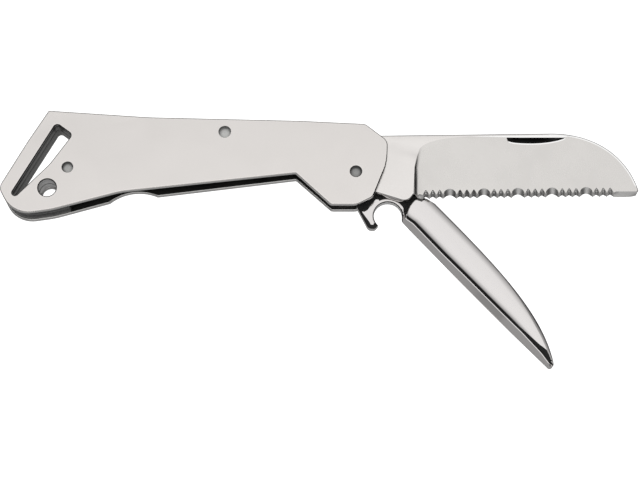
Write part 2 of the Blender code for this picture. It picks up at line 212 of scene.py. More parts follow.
def fillet(corners, step_deg=5.0):
    """Closed outline from (x, y, radius) corners, each corner turned into an arc."""
    points = []
    for index, (x, y, radius) in enumerate(corners):
        here = Vector((x, y))
        before = (Vector(corners[index - 1][:2]) - here).normalized()
        after = (Vector(corners[(index + 1) % len(corners)][:2]) - here).normalized()
        turn = math.pi - before.angle(after)
        if radius <= 0.0 or turn < 1e-4:
            points.append((x, y))
            continue
        reach = radius * math.tan(turn / 2)
        start = here + before * reach
        centre = here + (before + after).normalized() * math.hypot(radius, reach)
        first = start - centre
        side = 1.0 if before.cross(after) < 0.0 else -1.0
        steps = max(3, math.ceil(math.degrees(turn) / step_deg))
        for number in range(steps + 1):
            angle = side * turn * number / steps
            cosine, sine = math.cos(angle), math.sin(angle)
            points.append((centre.x + first.x * cosine - first.y * sine,
                           centre.y + first.x * sine + first.y * cosine))
    return points


def arc(centre, radius, start_deg, end_deg, steps):
    """Points on a circular arc, both ends included."""
    angles = [math.radians(start_deg + (end_deg - start_deg) * n / steps)
              for n in range(steps + 1)]
    return [(centre[0] + radius * math.cos(a), centre[1] + radius * math.sin(a))
            for a in angles]


def circle(centre, radius, segments=72):
    """A closed circle, counter-clockwise."""
    return arc(centre, radius, 0.0, 360.0 * (segments - 1) / segments, segments - 1)


def bezier(start, handle_a, handle_b, end, count):
    """Points along a cubic curve, both ends included."""
    knots = [Vector((x, y, 0.0)) for x, y in (start, handle_a, handle_b, end)]
    return [(p.x, p.y) for p in interpolate_bezier(*knots, count)]


def dense(line, step):
    """The open line with points added so that none lie further apart than step."""
    points = []
    for (ax, ay), (bx, by) in zip(line, line[1:]):
        count = max(1, math.ceil(math.hypot(bx - ax, by - ay) / step))
        points += [(ax + (bx - ax) * n / count, ay + (by - ay) * n / count)
                   for n in range(count)]
    return points + [line[-1]]


def slot_outline():
    """The tapered shackle-key slot."""
    return fillet([(-86.8, 14.8, 1.1), (-102.0, -12.2, 0.9), (-88.2, 2.2, 16.0),
                   (-82.0, 11.2, 1.2)])


def plate_outline(scalloped):
    """A side plate; the rear one has a shallow finger scallop in its belly."""
    belly = [(-67.4, -6.1, 25.0)]
    if scalloped:
        right, left, sagitta = (-57.6, -5.05), (-71.4, -7.0), 2.0
        chord = math.dist(right, left)
        radius = (chord * chord / 4 + sagitta * sagitta) / (2 * sagitta)
        lean = math.atan2(right[1] - left[1], right[0] - left[0])
        drop = radius - sagitta
        centre = ((right[0] + left[0]) / 2 + drop * math.sin(lean),
                  (right[1] + left[1]) / 2 - drop * math.cos(lean))
        half = math.degrees(math.asin(chord / 2 / radius))
        upright = 90.0 + math.degrees(lean)
        belly = [(x, y, 0.0) for x, y in
                 arc(centre, radius, upright - half, upright + half, 30)]
    corners = [(-89.15, 18.6, 0.4), (-94.9, 9.0, 80.0), (-102.55, -4.95, 3.0),
               (-98.15, -13.05, 8.0), (-87.2, -11.5, 30.0)]
    corners += belly[::-1]
    if scalloped:
        corners += [(-17.3, 0.0, 0.8), (-7.1, -9.35, 1.6), (0.2, -9.35, 5.0)]
    else:
        corners += [(-17.4, -0.5, 0.8), (-7.3, -10.05, 1.6), (0.2, -10.05, 5.0)]
    corners += [(5.0, -7.6, 3.2), (9.0, 2.6, 18.0), (9.25, 9.3, 3.0), (2.8, 14.5, 2.5),
                (-16.0, 15.45, 200.0), (-60.0, 16.55, 100.0)]
    return fillet(corners)


def shank_hole(name):
    """The hole that a rivet's shank goes through."""
    return circle(axis_of(name), SHANKS[name] + HOLE_CLEARANCE)


def spring_outline():
    """A back spring stamped in one piece with its butt block."""
    end = [(2.2, SPRING_UNDERSIDE, 0.3), (2.2, 13.9, 0.5)]
    back = [(-16.0, 15.2, 200.0), (-60.0, 16.3, 100.0), (-88.95, 18.3, 0.5)]
    butt = [(-94.55, 8.85, 80.0), (-102.2, -4.9, 3.0), (-97.9, -12.75, 8.0), (-87.2, -11.15, 30.0),
            (-82.4, -9.85, 0.6)]
    swept = [(x, y, 0.0) for x, y in arc((0.0, 0.0), TIP_CLEARANCE_R, 181.5, 172.0, 16)]
    underside = [(-77.6, 11.85, 1.5), (-40.0, SPRING_UNDERSIDE, 60.0)]
    return fillet(end + back + butt + swept + underside)


# ------------------------------------------------------------------------- mesh helpers

def line_of(xs, ys):
    """Points from an array of x and an array, or a single value, of y."""
    return [(float(x), float(y)) for x, y in np.broadcast(xs, ys)]


def read(table, places):
    """Values at the places, between the entries of a table of (place, value) pairs."""
    return np.interp(places, *np.array(table).T)


def between(values, low, high):
    """Which values lie between two limits."""
    return (values > low) & (values < high)


def with_normals(line):
    """(x, y, nx, ny) along an open line, normals to its right."""
    found = []
    for index, (x, y) in enumerate(line):
        ax, ay = line[max(0, index - 1)]
        bx, by = line[min(len(line) - 1, index + 1)]
        size = math.hypot(bx - ax, by - ay)
        found.append((x, y, (by - ay) / size, -(bx - ax) / size))
    return found


def inset(loop, distance):
    """The loop moved to its left by distance, with mitred corners."""
    moved = []
    for index, (x, y) in enumerate(loop):
        here = Vector((x, y))
        into = (here - Vector(loop[index - 1])).normalized()
        out = (Vector(loop[(index + 1) % len(loop)]) - here).normalized()
        normal = Vector((-into.y - out.y, into.x + out.x)).normalized()
        stretch = max(0.6, normal.dot(Vector((-into.y, into.x))))
        moved.append((x + normal.x * distance / stretch, y + normal.y * distance / stretch))
    return moved


def is_inside(points, loop):
    """Even-odd test of many points against a closed loop."""
    x, y = points[:, 0], points[:, 1]
    within = np.zeros(len(points), bool)
    for index, (ax, ay) in enumerate(loop):
        bx, by = loop[index - 1]
        if ay == by:
            continue
        crosses = ((ay > y) != (by > y)) & (x < (bx - ax) * (y - ay) / (by - ay) + ax)
        within ^= crosses
    return within


def distance_to(points, lines):
    """Distance from many points to the nearest segment of (points, closed) lines."""
    starts, ends = [], []
    for line, closed in lines:
        line = np.array(line, float)
        following = np.roll(line, -1, axis=0)
        count = len(line) if closed else len(line) - 1
        starts.append(line[:count])
        ends.append(following[:count])
    a = np.concatenate(starts)
    along = np.concatenate(ends) - a
    length2 = np.maximum((along ** 2).sum(1), 1e-12)
    nearest = np.empty(len(points))
    for first in range(0, len(points), 2000):
        part = points[first:first + 2000, None, :] - a[None]
        share = np.clip((part * along[None]).sum(2) / length2, 0.0, 1.0)
        gap = part - share[:, :, None] * along[None]
        nearest[first:first + 2000] = np.sqrt((gap ** 2).sum(2).min(1))
    return nearest


def rim_loops(loops, radius, wear_reach):
    """Guide lines just inside every boundary: around its rounded rim and its worn band."""
    bounds = [(loop, True) for loop in loops]
    guides = []
    for depth in (radius * 0.13, radius * 0.5, radius, radius + 0.06, wear_reach):
        for loop in loops:
            moved = inset(loop, depth)
            keep = distance_to(np.array(moved), bounds) > depth - 2e-3
            for i in range(len(moved)):
                j = (i + 1) % len(moved)
                if keep[i] and keep[j]:
                    guides.append([moved[i], moved[j]])
    return guides


def relief(name, loops, top, bottom, rim, body, materials, paint=None, guides=(),
           wear_reach=0.7, turn_deg=0.0, sharp_deg=38.0):
    """A closed solid between two height functions, with rounded rims.

    loops: boundaries, outer one first (counter-clockwise), holes after it (clockwise).
    top and bottom take (x, y) arrays in mm.  rim is a radius, or a function of the points.
    paint(x, y) gives three arrays of material numbers: upper faces, lower faces, walls.
    guides are open lines that the triangles follow, wear_reach is how far in from a boundary
    the steel is worn, and turn_deg turns the solid about the pivot.
    """
    rim_size = rim if not callable(rim) else TYPICAL_RIM
    lines = [(loop, True) for loop in loops]
    lines += [(line, False) for line in guides]
    lines += [(line, False) for line in rim_loops(loops, rim_size, wear_reach)]
    coords, edges = [], []
    for line, closed in lines:
        first = len(coords)
        coords += [Vector(point) for point in line]
        edges += [(first + i, first + i + 1) for i in range(len(line) - 1)]
        if closed:
            edges.append((first + len(line) - 1, first))
    found, _, triangles, _, _, _ = delaunay_2d_cdt(coords, edges, [], 0, 1e-5)
    flat = np.array([(p.x, p.y) for p in found])
    triangles = np.array(triangles)
    centres = flat[triangles].mean(1)
    keep = is_inside(centres, loops[0])
    for hole in loops[1:]:
        keep &= ~is_inside(centres, hole)
    triangles, centres = triangles[keep], centres[keep]

    gap = distance_to(flat, [(loop, True) for loop in loops])
    gap[gap < ON_BOUNDARY] = 0.0
    radius = rim(flat) if callable(rim) else np.full(len(flat), float(rim))
    inner = np.clip(1.0 - gap / np.maximum(radius, 1e-6), 0.0, 1.0)
    drop = radius * (1.0 - np.sqrt(1.0 - inner ** 2))
    upper = top(flat[:, 0], flat[:, 1]) - drop
    lower = bottom(flat[:, 0], flat[:, 1]) + drop
    wear = np.clip(1.0 - gap / wear_reach, 0.0, 1.0) ** 2

    cosine, sine = math.cos(math.radians(turn_deg)), math.sin(math.radians(turn_deg))
    world_x = PIVOT[0] + (flat[:, 0] * cosine - flat[:, 1] * sine) * MM
    world_y = PIVOT[1] + (flat[:, 0] * sine + flat[:, 1] * cosine) * MM
    colours = paint(centres[:, 0], centres[:, 1]) if paint else None

    mesh = bmesh.new()
    worn = mesh.verts.layers.float.new("wear")
    used = np.unique(triangles)
    tops, bottoms = {}, {}
    for index in used:
        for store, height in ((tops, upper), (bottoms, lower)):
            vertex = mesh.verts.new((world_x[index], world_y[index], height[index] * MM))
            vertex[worn] = wear[index]
            store[index] = vertex
    open_edges = {}
    for number, (a, b, c) in enumerate(triangles):
        face = mesh.faces.new((tops[a], tops[b], tops[c]))
        under = mesh.faces.new((bottoms[c], bottoms[b], bottoms[a]))
        if colours is not None:
            face.material_index = int(colours[0][number])
            under.material_index = int(colours[1][number])
        for pair in ((a, b), (b, c), (c, a)):
            if pair[::-1] in open_edges:
                del open_edges[pair[::-1]]
            else:
                open_edges[pair] = number
    for (a, b), number in open_edges.items():
        wall = mesh.faces.new((bottoms[a], bottoms[b], tops[b], tops[a]))
        if colours is not None:
            wall.material_index = int(colours[2][number])
    return finish_piece(name, mesh, materials, body, sharp_deg)


def finish_piece(name, mesh, materials, body, sharp_deg):
    """Turn a bmesh into the shown piece that stands for its CAD node."""
    data = bpy.data.meshes.new(name + "_shown")
    mesh.to_mesh(data)
    mesh.free()
    for material in materials:
        data.materials.append(material)
    data.shade_smooth()
    data.set_sharp_from_angle(angle=math.radians(sharp_deg))
    piece = bpy.data.objects.new(name + "_shown", data)
    bpy.context.scene.collection.objects.link(piece)
    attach(piece, body)
    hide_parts(name)
    return piece


def constant(value):
    """A height function that is flat."""
    return lambda x, y: np.full(len(x), float(value))


# ---------------------------------------------------------------------------- materials

def steel(name, colour, roughness, mottle=0.03, grain=(1.0, 1.0, 1.0), grain_scale=6.0,
          bump=0.02, scratches=0.0, scratch_angle=20.0, worn_roughness=None, wear_and_sheen=0.0,
          metallic=1.0, uneven=0.125):
    """Procedural stainless steel: mottled tone, directional grain, scratches, worn rims.

    mottle and uneven are the shares by which tone and roughness wander; grain stretches the
    fine noise along x, y and z; wear_and_sheen brightens the worn rims, partly as wear and
    partly as a painted highlight along the edges.
    """
    material = bpy.data.materials.new(name)
    material.use_nodes = True
    nodes, links = material.node_tree.nodes, material.node_tree.links
    shader = nodes["Principled BSDF"]
    shader.inputs["Metallic"].default_value = metallic
    shader.inputs["Specular IOR Level"].default_value = 0.5 if metallic > 0.5 else 0.1

    place = nodes.new("ShaderNodeTexCoord")
    in_mm = nodes.new("ShaderNodeMapping")
    in_mm.inputs["Scale"].default_value = (1000.0, 1000.0, 1000.0)
    links.new(place.outputs["Object"], in_mm.inputs["Vector"])

    def noise(vector, scale, detail, rough=0.55):
        node = nodes.new("ShaderNodeTexNoise")
        node.inputs["Scale"].default_value = scale
        node.inputs["Detail"].default_value = detail
        node.inputs["Roughness"].default_value = rough
        links.new(vector, node.inputs["Vector"])
        return node.outputs["Fac"]

    def ranged(value, low, high, new_low, new_high):
        node = nodes.new("ShaderNodeMapRange")
        node.inputs["From Min"].default_value = low
        node.inputs["From Max"].default_value = high
        node.inputs["To Min"].default_value = new_low
        node.inputs["To Max"].default_value = new_high
        links.new(value, node.inputs["Value"])
        return node.outputs["Result"]

    def math_node(operation, *values):
        node = nodes.new("ShaderNodeMath")
        node.operation = operation
        for socket, value in zip(node.inputs, values):
            if isinstance(value, (int, float)):
                socket.default_value = value
            else:
                links.new(value, socket)
        return node.outputs["Value"]

    stretched = nodes.new("ShaderNodeMapping")
    stretched.inputs["Scale"].default_value = grain
    links.new(in_mm.outputs["Vector"], stretched.inputs["Vector"])
    fine = noise(stretched.outputs["Vector"], grain_scale, 3.0)
    broad = noise(in_mm.outputs["Vector"], 0.11, 4.0)
    speckle = noise(in_mm.outputs["Vector"], 2.6, 2.0)

    worn = nodes.new("ShaderNodeAttribute")
    worn.attribute_name = "wear"
    patchy = math_node("MULTIPLY", worn.outputs["Fac"], ranged(speckle, 0.35, 0.62, 0.2, 1.0))

    tone = nodes.new("ShaderNodeValToRGB")
    darker = [max(0.0, c * (1.0 - mottle)) for c in colour]
    lighter = [min(1.0, c * (1.0 + mottle)) for c in colour]
    for element, place_on_ramp, shade in zip(tone.color_ramp.elements, TONE_SPAN,
                                             (darker, lighter)):
        element.position = place_on_ramp
        element.color = (*shade, 1.0)
    links.new(math_node("MULTIPLY_ADD", fine, 0.6, broad), tone.inputs["Fac"])
    # Worn rims lightened towards a pale tone: partly wear, partly a painted highlight along the
    # edges.
    sheen_mix = nodes.new("ShaderNodeMix")
    sheen_mix.data_type = "RGBA"
    sheen_mix.inputs[MIX_COLOUR_B].default_value = WEAR_AND_SHEEN_COLOUR
    links.new(math_node("MULTIPLY", patchy, wear_and_sheen), sheen_mix.inputs["Factor"])
    links.new(tone.outputs["Color"], sheen_mix.inputs[MIX_COLOUR_A])
    links.new(sheen_mix.outputs[MIX_COLOUR_OUT], shader.inputs["Base Color"])

    base_rough = ranged(broad, 0.3, 0.7, roughness * (1.0 - uneven), roughness * (1.0 + uneven))
    grainy = math_node("MULTIPLY_ADD", fine, roughness * uneven * 2.0, base_rough)
    lifted = math_node("SUBTRACT", grainy, roughness * uneven)
    if worn_roughness is None:
        worn_roughness = roughness * 0.6
    rubbed = math_node("MULTIPLY", patchy, roughness - worn_roughness)
    final_rough = math_node("SUBTRACT", lifted, rubbed)

    height = fine
    if scratches > 0.0:
        thin = nodes.new("ShaderNodeMapping")
        thin.inputs["Rotation"].default_value = (0.0, 0.0, math.radians(scratch_angle))
        thin.inputs["Scale"].default_value = (0.035, 2.4, 0.3)
        links.new(in_mm.outputs["Vector"], thin.inputs["Vector"])
        lines = noise(thin.outputs["Vector"], 3.0, 2.0, 0.7)
        marks = ranged(lines, 0.68, 0.74, 0.0, scratches)
        height = math_node("SUBTRACT", height, marks)
        final_rough = math_node("MULTIPLY_ADD", marks, 0.12, final_rough)
    links.new(final_rough, shader.inputs["Roughness"])

    bumped = nodes.new("ShaderNodeBump")
    bumped.inputs["Strength"].default_value = 1.0
    bumped.inputs["Distance"].default_value = bump * MM
    links.new(height, bumped.inputs["Height"])
    links.new(bumped.outputs["Normal"], shader.inputs["Normal"])
    return material


SATIN = steel("satin_plate_steel", (0.92, 0.883, 0.855), 0.30, mottle=0.010,
              grain=(0.3, 1.0, 1.0), grain_scale=5.0, bump=0.0015, scratches=0.05,
              scratch_angle=12.0, wear_and_sheen=0.12, uneven=0.05)
PLATE_WALL = steel("stamped_edge_steel", (0.76, 0.75, 0.735), 0.26, mottle=0.10,
                   grain=(0.5, 0.5, 6.0), grain_scale=1.2, bump=0.01)
# Near-black steel for painted shade: lines round the plate holes and along the nose, and the
# rivet-hole walls.
PAINTED_SHADE = steel("painted_shade_steel", (0.07, 0.07, 0.068), 0.30, mottle=0.15,
             grain=(0.5, 0.5, 5.0), grain_scale=1.2, bump=0.01)
# Dark grey steel for the painted shade on the slot walls.
SLOT_WALL_SHADE = steel("slot_wall_shade_steel", (0.22, 0.218, 0.212), 0.34, mottle=0.10,
                  grain=(0.6, 0.6, 3.0), grain_scale=1.4, bump=0.01)
HOLE_WALL = steel("hole_wall_steel", (0.95, 0.94, 0.925), 0.22, mottle=0.12,
                  grain=(0.6, 0.6, 3.0), grain_scale=1.4, bump=0.01, metallic=0.8)
# Dark steel for the painted shade on the plates' inner faces.
INNER_SHADE = steel("inner_face_shade_steel", (0.10, 0.10, 0.097), 0.45, mottle=0.15, grain_scale=2.0,
              bump=0.01)
RICASSO = steel("bright_ricasso_steel", (0.88, 0.85, 0.826), 0.22, mottle=0.010,
                grain=(0.3, 1.0, 1.0), grain_scale=5.0, bump=0.002, scratches=0.15,
                scratch_angle=-8.0, wear_and_sheen=0.8)
GROUND = steel("ground_blade_steel", (0.79, 0.767, 0.742), 0.27, mottle=0.014,
               grain=(4.0, 0.16, 1.0), grain_scale=1.6, bump=0.0025, scratches=0.2,
               scratch_angle=86.0, wear_and_sheen=0.7)
BEVEL = steel("serration_bevel_steel", (0.86, 0.85, 0.835), 0.34, mottle=0.06,
              grain=(6.0, 0.5, 1.0), grain_scale=1.6, bump=0.01)
# Near-black steel for the painted shade in the nail nick and on the heel's lower walls.
NICK_SHADE = steel("nick_shade_steel", (0.045, 0.045, 0.045), 0.35, mottle=0.2,
                   grain=(0.3, 3.0, 1.0), grain_scale=2.0, bump=0.01)
# Bright steel for painted highlight lines by the nick and along the drop.
PAINTED_HIGHLIGHT = steel("painted_highlight_steel", (1.0, 0.99, 0.98), 0.09, mottle=0.004, grain_scale=2.0,
               bump=0.0005)
DULL_WALL = steel("dull_wall_steel", (0.88, 0.87, 0.85), 0.40, mottle=0.06, grain_scale=2.0,
                  bump=0.005, metallic=0.2)
SPINE = steel("spine_edge_steel", (0.62, 0.60, 0.585), 0.22, mottle=0.05, grain_scale=2.0,
              bump=0.005)
CHROME = steel("polished_spike_steel", (0.80, 0.775, 0.765), 0.08, mottle=0.006,
               grain=(0.2, 1.0, 1.0), grain_scale=1.0, bump=0.001, scratches=0.10,
               scratch_angle=50.0, worn_roughness=0.07)
# Grey steels for the painted reflection bands along the spike's back.
BACK_SOFT = steel("back_shade_steel", (0.45, 0.438, 0.432), 0.20, mottle=0.02, grain_scale=1.0,
                  bump=0.001)
BACK_DEEP = steel("deep_back_shade_steel", (0.27, 0.263, 0.26), 0.20, mottle=0.02,
                  grain_scale=1.0, bump=0.001)
# Near-black springs for the painted shade in the well between the plates.
SPRING_SHADE = steel("spring_shade_steel", (0.03, 0.03, 0.029), 0.30, mottle=0.12,
               grain=(0.6, 0.6, 5.0), grain_scale=1.4, bump=0.01, wear_and_sheen=0.1, metallic=0.1)
SHADED = steel("shaded_tang_steel", (0.04, 0.04, 0.039), 0.35, mottle=0.15, grain_scale=2.0,
               bump=0.01, metallic=0.0)
RIVETS = {name: steel(name + "_steel", (shade, shade, shade * 0.98), 0.30, mottle=0.10,
                      grain_scale=1.6, bump=0.02, worn_roughness=0.22)
          for name, shade in (("pivot_rivet", 0.30), ("spring_rivet", 0.52), ("butt_rivet", 0.40))}


# -------------------------------------------------------------------------- plate pieces

def clockwise(loops):
    """Hole boundaries, turned so that their left side is the material around them."""
    return [loop[::-1] for loop in loops]


def side_plate(name, outline, holes, heights, outer_side):
    """A stamped plate: satin outside, dark inside, sheared wall."""
    loops = [outline] + clockwise(holes)
    inner = 1 - outer_side
    satin, inside, edge, painted_shade, slot_side_shade, hole_side = range(6)

    def paint(x, y):
        points = np.stack([x, y], 1)
        gap = distance_to(points, [(loop, True) for loop in loops])
        to_edge, to_slot, to_hole = (distance_to(points, [(loop, True)]) for loop in loops[:3])
        faces = [np.full(len(x), satin), np.full(len(x), satin)]
        # Painted shade on the inner faces, except a rim of plain wall steel.
        faces[inner][:] = inside
        faces[inner][gap < INNER_RIM] = edge
        outer = faces[outer_side]
        # Painted shade lines round the holes, wider round the lanyard hole.
        outer[(gap < HOLE_LINE) & (to_edge > 0.5)] = painted_shade
        outer[to_hole < LANYARD_LINE] = painted_shade
        if outer_side == 0:
            # Painted shadow line along the front plate's nose.
            on_nose = (x > NOSE_START) & between(y, NOSE_LOW, NOSE_HIGH)
            outer[on_nose & (to_edge < read(NOSE_LINE, y))] = painted_shade
        # Painted shade on the walls of the rivet holes.
        walls = np.where(to_edge > gap + 1e-6, painted_shade, edge)
        # Painted shade on the slot walls.
        walls[to_slot < gap + 1e-6] = slot_side_shade
        walls[to_hole < gap + 1e-6] = hole_side
        return faces[0], faces[1], walls

    return relief(name, loops, constant(heights[1]), constant(heights[0]), 0.28, "handle",
                  [SATIN, INNER_SHADE, PLATE_WALL, PAINTED_SHADE, SLOT_WALL_SHADE, HOLE_WALL], paint)


def plates():
    """Both side plates."""
    shared = [slot_outline(), circle(LANYARD, LANYARD_R)]
    shanks = [shank_hole(name) for name in SHANKS]
    sinks = [circle(axis_of(name), SINK_R + SINK_CLEARANCE) for name in SHANKS]
    side_plate("front_plate", plate_outline(False), shared + shanks, FRONT_Z, 0)
    side_plate("rear_plate", plate_outline(True), shared + sinks, REAR_Z, 1)


def springs():
    """Both back springs, each in one piece with its butt block."""
    holes = [slot_outline(), circle(LANYARD, LANYARD_R + 0.15), shank_hole("spring_rivet"),
             shank_hole("butt_rivet")]
    loops = [spring_outline()] + clockwise(holes)
    plain, slot_side_shade, hole_side = range(3)

    def paint(x, y):
        points = np.stack([x, y], 1)
        to_edge, to_slot, to_hole = (distance_to(points, [(loop, True)]) for loop in loops[:3])
        # The springs' faces and outer walls carry the painted shade of the well between the
        # plates.
        faces = np.full(len(x), plain)
        walls = faces.copy()
        # Painted shade on the slot walls.
        walls[to_slot < to_edge] = slot_side_shade
        walls[to_hole < np.minimum(to_edge, 1.0)] = hole_side
        return faces, faces, walls

    for name, heights in (("spike_spring", SPIKE_LAYER), ("blade_spring", BLADE_LAYER)):
        relief(name, loops, constant(heights[1]), constant(heights[0]), 0.1, "handle",
               [SPRING_SHADE, SLOT_WALL_SHADE, HOLE_WALL], paint)


def rivet(name):
    """A peened rivet: a low, slightly uneven dome in front and a flush head behind."""
    centre = axis_of(name)
    shank = SHANKS[name]
    head = HEAD_R * WIDE_HEAD.get(name, 1.0)
    seat = FRONT_Z[1] + 0.01
    rise = HEAD_TOP - seat
    profile = [(0.0, seat + rise)]
    for step in range(1, DOME_STEPS + 1):
        share = step / DOME_STEPS
        bulge = (rise - DOME_EDGE) * (1.0 - share ** 2.3)
        profile.append((head * share, seat + DOME_EDGE + bulge))
    profile += [(head + 0.01, seat + 0.03), (head - 0.05, seat - 0.005), (shank, seat - 0.01),
                (shank, SINK_DEPTH), (SINK_R - 0.1, 0.08), (SINK_R - 0.12, 0.02), (0.0, 0.0)]
    segments = 64
    mesh = bmesh.new()
    worn = mesh.verts.layers.float.new("wear")
    rings = []
    for radius, z in profile:
        ring = []
        on_dome = z > seat + 0.02
        for number in range(1 if radius == 0.0 else segments):
            angle = 2 * math.pi * number / segments
            uneven = 1.0 + LOBE_SHARE * math.sin(LOBES * angle + centre[0]) * on_dome
            x = centre[0] + radius * uneven * math.cos(angle)
            y = centre[1] + radius * uneven * math.sin(angle)
            vertex = mesh.verts.new((PIVOT[0] + x * MM, PIVOT[1] + y * MM, z * MM))
            vertex[worn] = 1.0 if radius < head * 0.6 else 0.2
            ring.append(vertex)
        rings.append(ring)
    for upper, lower in zip(rings, rings[1:]):
        for i in range(segments):
            j = (i + 1) % segments
            if len(upper) == 1:
                mesh.faces.new((upper[0], lower[i], lower[j]))
            elif len(lower) == 1:
                mesh.faces.new((upper[j], upper[i], lower[0]))
            else:
                mesh.faces.new((upper[j], upper[i], lower[i], lower[j]))
    return finish_piece(name, mesh, [RIVETS[name]], "handle", 40.0)


# --------------------------------------------------------------------------------- blade

def edge_lines():
    """(x, edge y, face y) along the serrated edge, finely sampled."""
    samples = list(SERRATION_HEEL)
    for group in range(GROUPS):
        start = SERRATION_X0 + group * GROUP_PITCH
        for cut in range(V_CUTS):
            middle = start + cut * V_PITCH
            for step in range(1 - V_STEPS if cut else -V_STEPS, V_STEPS + 1):
                bow = 1.0 - (abs(step) / V_STEPS) ** 1.25
                samples.append((middle + V_PITCH / (2 * V_STEPS) * step, V_DEPTH * bow,
                                V_RISE * bow))
        if group < GROUPS - 1:
            tooth = start + (V_CUTS - 0.5) * V_PITCH
            for step in range(1, SCALLOP_STEPS):
                bow = math.sin(math.pi * step / SCALLOP_STEPS)
                samples.append((tooth + SCALLOP_W * step / SCALLOP_STEPS, SCALLOP_DEPTH * bow,
                                SCALLOP_RISE * math.sqrt(bow)))
    points = []
    for x, cut, rise in samples:
        edge = EDGE_Y + EDGE_SLOPE * (x - SERRATION_X0)
        points.append((x, edge + cut, edge + TOOTH_RISE + rise))
    start = points[-1][0] + FLAT_START
    points += [(start + (FLAT_END - start) * n / FLAT_STEPS,
                FLAT_EDGE + FLAT_LIFT * (n / FLAT_STEPS) ** 4, FLAT_BEVEL)
               for n in range(FLAT_STEPS + 1)]
    return points


def nick_low(x):
    """Lower bow of the nail nick."""
    share = np.clip((x - NICK[0]) / (NICK[1] - NICK[0]), 0.0, 1.0) ** 0.8
    bow = np.clip(4 * share * (1 - share), 0.0, 1.0) ** np.where(share < 0.5, 0.32, 0.7)
    return NICK_TOP - NICK_DROP * bow


def blade_guides(edge, plunge, drop):
    """Lines on the blade that its triangles follow."""
    guides = [plunge]
    for reach in (0.15, 0.35, 0.6, 0.9, 1.25):
        moved = [(x + reach * nx, y + reach * ny) for x, y, nx, ny in with_normals(plunge)]
        guides.append([p for p in moved if p[1] > -6.0 and p[0] < 45.0])
    guides.append([(x, high) for x, _, high in edge])
    for share in (0.3, 0.6, 0.85):
        guides.append([(x, low + (high - low) * share) for x, low, high in edge])
    guides += [[(x, low), (x, high)] for x, low, high in edge[::5]]
    xs = np.linspace(*NICK, 40)
    lows = nick_low(xs)
    guides.append(line_of(xs, lows))
    guides.append(line_of(xs, lows - NICK_RIM))
    guides.append([(x + DROP_RIM * nx, y + DROP_RIM * ny) for x, y, nx, ny in
                   with_normals(drop)[2:] if y > -3.2])
    guides.append(line_of(xs, NICK_TOP))
    for share in (0.1, 0.35, 0.7):
        guides.append(line_of(xs[1:-1], NICK_TOP - (NICK_TOP - lows[1:-1]) * share))
    guides += [[(x, -3.0), (x, GRIND_TOP - 0.4)] for x in (24.0, 32.0, 40.0)]
    return guides


